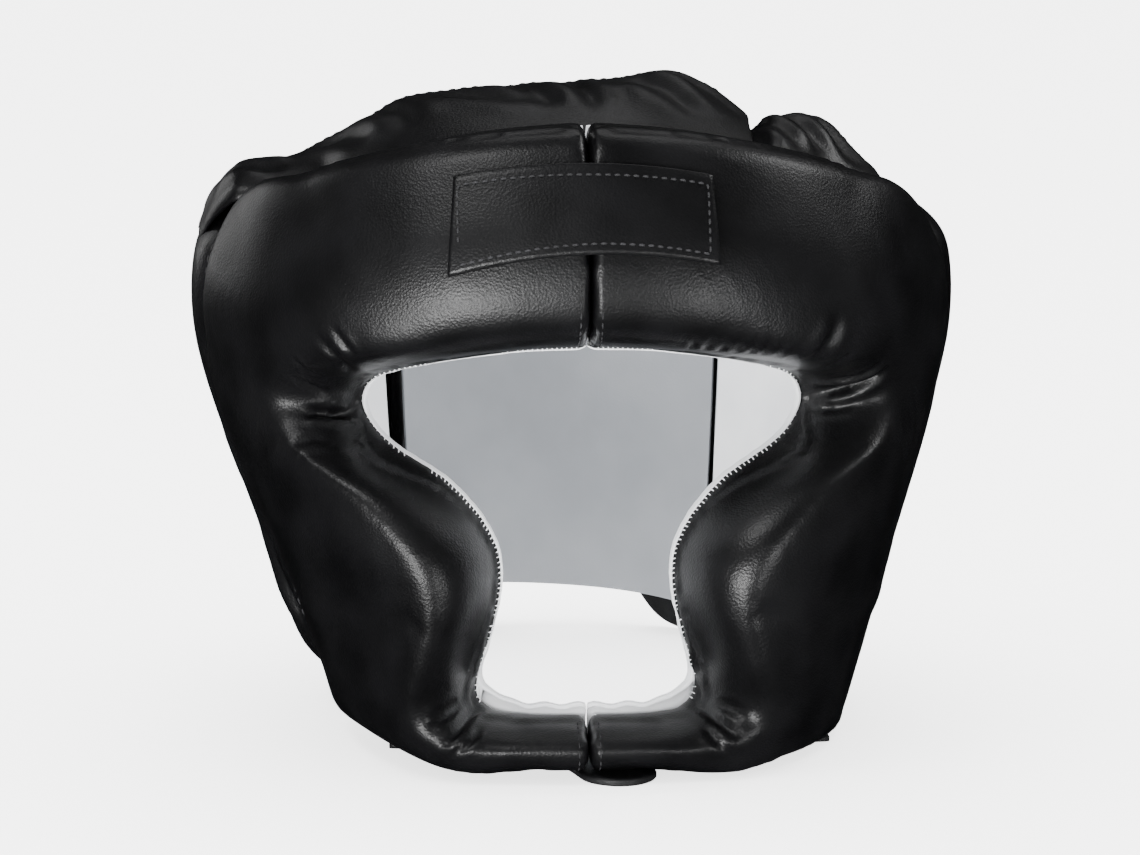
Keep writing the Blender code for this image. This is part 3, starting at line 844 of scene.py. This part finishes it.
def leather(name, colour, worn, low, high, grain=0.16, crumple=0.04, gloss=0.5):
    """Satin leather, with a roughness between low and high."""
    made, tree, shader, place = base_material(name, colour, 0.4)
    cells = add_node(tree, "ShaderNodeTexVoronoi", Scale=1300.0)
    tree.links.new(place, cells.inputs["Vector"])
    pebbles = noise_at(tree, place, 750.0, 2.0, 0.6)
    waves = noise_at(tree, place, 60.0, 1.0, 0.4)
    soft = bumped(tree, waves, crumple, 0.0012)
    rough = bumped(tree, pebbles, grain * 0.45, 0.0004, soft)
    fine = bumped(tree, cells.outputs["Distance"], grain * 2.0, 0.0002, rough)
    tree.links.new(fine, shader.inputs["Normal"])
    spread = noise_at(tree, place, 28.0, 4.0, 0.6)
    tree.links.new(ranged(tree, spread, low, high), shader.inputs["Roughness"])
    tint = tinted(tree, ranged(tree, waves, 0.0, 1.0), colour, worn)
    tree.links.new(tint, shader.inputs["Base Color"])
    shader.inputs["Specular IOR Level"].default_value = gloss
    return made


def cloth(name, colour, shade, weave=0.2, folds_strength=0.2):
    """Matt woven cloth."""
    made, tree, shader, place = base_material(name, colour, 0.7)
    threads = noise_at(tree, place, 1400.0, 1.0, 0.5)
    folds = noise_at(tree, place, 45.0, 2.0, 0.5)
    soft = bumped(tree, folds, folds_strength, 0.0012)
    fine = bumped(tree, threads, weave, 0.0002, soft)
    tree.links.new(fine, shader.inputs["Normal"])
    tint = tinted(tree, ranged(tree, folds, 0.0, 1.0), colour, shade)
    tree.links.new(tint, shader.inputs["Base Color"])
    shader.inputs["Specular IOR Level"].default_value = 0.35
    return made


near_black = (0.0015, 0.0015, 0.0018)
worn_black = (0.003, 0.003, 0.0035)
strap_black = (0.006, 0.006, 0.0065)
strap_worn = (0.010, 0.010, 0.011)
finishes = {
    "black_leather": leather("black_leather", near_black, worn_black, 0.35, 0.44),
    "soft_black_leather": leather("soft_black_leather", near_black, worn_black, 0.36, 0.46, crumple=0.10),
    "strap_leather": leather("strap_leather", strap_black, strap_worn, 0.42, 0.55, gloss=0.4),
    "white_lining": cloth("white_lining", (0.74, 0.75, 0.76), (0.66, 0.67, 0.69)),
    "grey_lining": cloth("grey_lining", (0.235, 0.245, 0.26), (0.205, 0.215, 0.23), folds_strength=0.06),
    "edge_binding": cloth("edge_binding", (0.020, 0.020, 0.022), (0.012, 0.012, 0.013)),
}
pieces = [*pads.values(), *panels.values(), *thin.values(), *stitches]
for piece in pieces:
    piece.data.materials.clear()
    piece.data.materials.append(finishes[piece["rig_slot"]])

print(len(pieces), "pieces in", len(finishes), "finishes")

# %% [markdown]
# Every piece is sewn to the next, so the whole headgear is one body, and everything rides on it.

# %% Riding on the frame
for piece in pieces:
    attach(piece, "root")

# %% [markdown]
# The photograph is a product shot: a pale ground without a horizon, a camera a little above the headgear
# and a long lens, so that the two halves stay nearly parallel. A curved backdrop would give the same
# ground from one side only. A wide floor that glows a little is pale from all sides.

# %% Ground and camera
floor_mesh = bpy.data.meshes.new("floor")
reach = 9.0
floor_mesh.from_pydata(
    [(-reach, -reach, 0), (reach, -reach, 0), (reach, reach, 0), (-reach, reach, 0)], [], [(0, 1, 2, 3)]
)
floor = linked("floor", floor_mesh)
ground = bpy.data.materials.new("ground")
ground.use_nodes = True
for socket, value in (
    ("Base Color", (0.95, 0.95, 0.95, 1)),
    ("Roughness", 0.9),
    ("Specular IOR Level", 0.1),
    ("Emission Color", (1, 1, 1, 1)),
    ("Emission Strength", 2.2),
):
    ground.node_tree.nodes["Principled BSDF"].inputs[socket].default_value = value
floor_mesh.materials.append(ground)
floor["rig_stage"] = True

camera_distance = 1.4
camera_azimuth = math.radians(-3)
camera_elevation = math.radians(10)
target = Vector((0, 0.0045, 0.089))
back = Vector((
    math.sin(camera_azimuth) * math.cos(camera_elevation),
    -math.cos(camera_azimuth) * math.cos(camera_elevation),
    math.sin(camera_elevation),
))
lens_data = bpy.data.cameras.new("camera")
lens_data.lens = 136.5
lens_data.sensor_width = 36
lens_data.clip_start = 0.05
lens_data.clip_end = 50
camera = bpy.data.objects.new("camera", lens_data)
bpy.context.scene.collection.objects.link(camera)
camera.location = target + back * camera_distance
camera.rotation_mode = "QUATERNION"
camera.rotation_quaternion = (-back).to_track_quat("-Z", "Y")
bpy.context.scene.camera = camera

# %% [markdown]
# Black leather shows almost nothing but what it reflects, so its shape is drawn by soft lamps: three low
# ones in front, two overhead, and one behind each side. A bright world alone would veil it in grey. The
# pale world, the sun and the ground light the scene evenly, and glossy rays don't see them, so the
# leather stays as dark as it does against black studio flags.


# %% Light
def lamp(name, place, aim, width, height, power):
    """A soft rectangular lamp, in metres and watts."""
    data = bpy.data.lights.new(name, "AREA")
    data.shape = "RECTANGLE"
    data.size = width
    data.size_y = height
    data.energy = power
    obj = bpy.data.objects.new(name, data)
    bpy.context.scene.collection.objects.link(obj)
    obj.location = place
    obj.rotation_mode = "QUATERNION"
    obj.rotation_quaternion = (Vector(aim) - Vector(place)).to_track_quat("-Z", "Y")
    return obj


head_middle = (0, 0, 0.1)
chin_bar = (0, 0, 0.05)
lamp("key", (-0.85, -1.5, 0.10), head_middle, 0.75, 0.34, 24)
lamp("low_key", (-0.32, -1.4, 0.06), chin_bar, 0.30, 0.10, 4)
lamp("fill", (0.85, -1.5, 0.12), head_middle, 0.45, 0.30, 6)
lamp("high_left", (-0.6, -0.5, 1.3), head_middle, 0.5, 0.3, 5)
lamp("top", (0.2, 0.7, 1.3), head_middle, 0.9, 0.4, 1.5)
lamp("rim_left", (-1.1, 1.1, 0.5), head_middle, 0.3, 0.8, 2.5)
lamp("rim_right", (1.1, 0.32, 1.15), head_middle, 0.35, 0.35, 4.5)
sun_data = bpy.data.lights.new("sun", "SUN")
sun_data.energy = 5.0
sun_data.angle = math.radians(70)
sun = bpy.data.objects.new("sun", sun_data)
bpy.context.scene.collection.objects.link(sun)
sun.rotation_mode = "QUATERNION"
sun.rotation_quaternion = Vector((0.05, -0.3, -1)).to_track_quat("-Z", "Y")
sun.visible_glossy = False
floor.visible_glossy = False
world = bpy.data.worlds.new("studio")
bpy.context.scene.world = world
world.use_nodes = True
world.node_tree.nodes["Background"].inputs["Color"].default_value = (1, 1, 1, 1)
world.node_tree.nodes["Background"].inputs["Strength"].default_value = 1.9
world.cycles_visibility.glossy = False

# %% [markdown]
# The dressed headgear has to keep the size of the imported one, so its box is printed.

# %% Sizes
low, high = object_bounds()
print("visual", [round(v, 4) for v in (*low, *high)])
